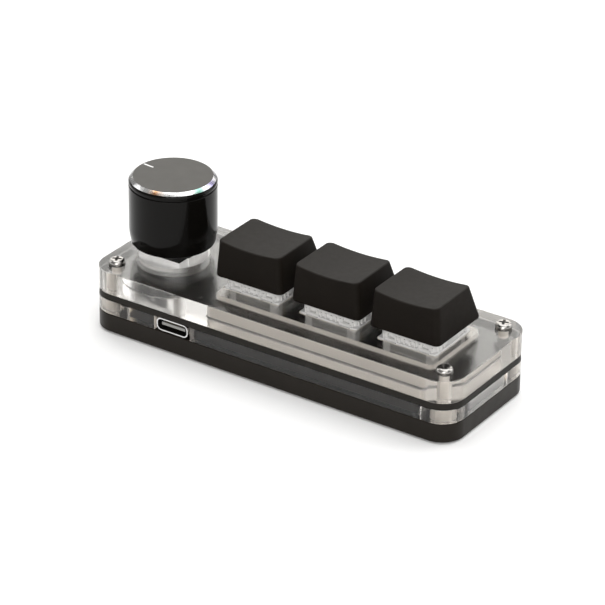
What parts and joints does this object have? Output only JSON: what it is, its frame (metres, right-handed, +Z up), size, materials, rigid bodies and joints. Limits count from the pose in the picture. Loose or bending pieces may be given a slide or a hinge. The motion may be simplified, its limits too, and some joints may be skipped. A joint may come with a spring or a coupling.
{
  "type": "macro keypad",
  "caption": "Desk macro keypad: sprung square keys in a row and a push-to-click rotary knob on a layered clear acrylic and dark case with a USB-C socket.",
  "frame": {"origin": "on the desk, under the middle of the case", "axes": "+X along the row of keys towards the knob, +Y away from the user towards the USB-C socket, +Z up"},
  "size_m": [0.1012, 0.0352, 0.0367],
  "materials": {
    "rubber": "matt moulded rubber",
    "base": "satin dark charcoal slab",
    "clear_acrylic": "clear acrylic, polished edges",
    "clear_acrylic_satin": "clear acrylic, satin upper face, polished edges",
    "solder_mask": "black solder mask",
    "screw_steel": "nickel-plated screw",
    "nickel_steel": "nickel-plated turned metal",
    "usb_steel": "bright stainless shell",
    "black_plastic": "black moulded plastic",
    "gold_contacts": "gold-plated contact metal",
    "ceramic_parts": "chip capacitors and resonator",
    "led_plastic": "white LED package",
    "clear_switch": "clear polycarbonate switch housing",
    "spring_steel": "bright spring wire and leaf",
    "stem_plastic": "natural acetal slider",
    "keycap_pbt": "finely textured matt black keycap",
    "encoder_zinc": "bright die-cast housing",
    "encoder_steel": "plated steel",
    "knob_aluminium": "black anodised, gloss side, satin top, bright cut chamfer",
    "pointer_paint": "white filled line"
  },
  "bodies": {
    "case": {"rubber_feet": "rubber", "base_plate": "base", "middle_frame": "clear_acrylic", "standoffs": "nickel_steel", "circuit_board": "solder_mask", "top_plate": "clear_acrylic_satin", "case_screws": "screw_steel", "usb_shell": "usb_steel", "usb_tongue": "black_plastic", "usb_contacts": "gold_contacts", "controller_chip": "black_plastic", "voltage_regulator": "black_plastic", "small_components": "ceramic_parts", "key_leds": "led_plastic", "hotswap_sockets": "black_plastic", "socket_clips": "nickel_steel", "switch_base_1": "clear_switch", "switch_base_2": "clear_switch", "switch_base_3": "clear_switch", "switch_cover_1": "clear_switch", "switch_cover_2": "clear_switch", "switch_cover_3": "clear_switch", "switch_contacts_1": "gold_contacts", "switch_contacts_2": "gold_contacts", "switch_contacts_3": "gold_contacts", "switch_spring_1": "spring_steel", "switch_spring_2": "spring_steel", "switch_spring_3": "spring_steel", "encoder_base": "black_plastic", "encoder_housing": "encoder_zinc", "encoder_bracket": "encoder_steel", "encoder_terminals": "nickel_steel", "encoder_wipers": "gold_contacts", "encoder_detent_spring": "spring_steel", "encoder_dome": "spring_steel"},
    "key_1": {"keycap_1": "keycap_pbt", "switch_stem_1": "stem_plastic"},
    "key_2": {"keycap_2": "keycap_pbt", "switch_stem_2": "stem_plastic"},
    "key_3": {"keycap_3": "keycap_pbt", "switch_stem_3": "stem_plastic"},
    "encoder_push": {"encoder_plunger": "stem_plastic"},
    "knob": {"encoder_rotor": "black_plastic", "encoder_shaft": "encoder_steel", "knob_shell": "knob_aluminium", "knob_core": "black_plastic", "knob_pointer": "pointer_paint"}
  },
  "joints": [
    {"name": "key_1_press", "type": "slide", "parent": "case", "child": "key_1", "axis": [0, 0, -1], "range_m": [0, 0.0032], "stiffness_N_per_m": 85, "springref_m": -0.0035, "deforming": ["switch_spring_1"]},
    {"name": "key_2_press", "type": "slide", "parent": "case", "child": "key_2", "axis": [0, 0, -1], "range_m": [0, 0.0032], "stiffness_N_per_m": 85, "springref_m": -0.0035, "deforming": ["switch_spring_2"]},
    {"name": "key_3_press", "type": "slide", "parent": "case", "child": "key_3", "axis": [0, 0, -1], "range_m": [0, 0.0032], "stiffness_N_per_m": 85, "springref_m": -0.0035, "deforming": ["switch_spring_3"]},
    {"name": "knob_press", "type": "slide", "parent": "case", "child": "encoder_push", "axis": [0, 0, -1], "range_m": [0, 0.0005], "stiffness_N_per_m": 2500, "springref_m": -0.0008, "deforming": ["encoder_dome"]},
    {"name": "knob_turn", "type": "hinge", "parent": "encoder_push", "child": "knob", "pos_m": [0.03848, 0, 0.03], "axis": [0, 0, 1], "continuous": true}
  ]
}
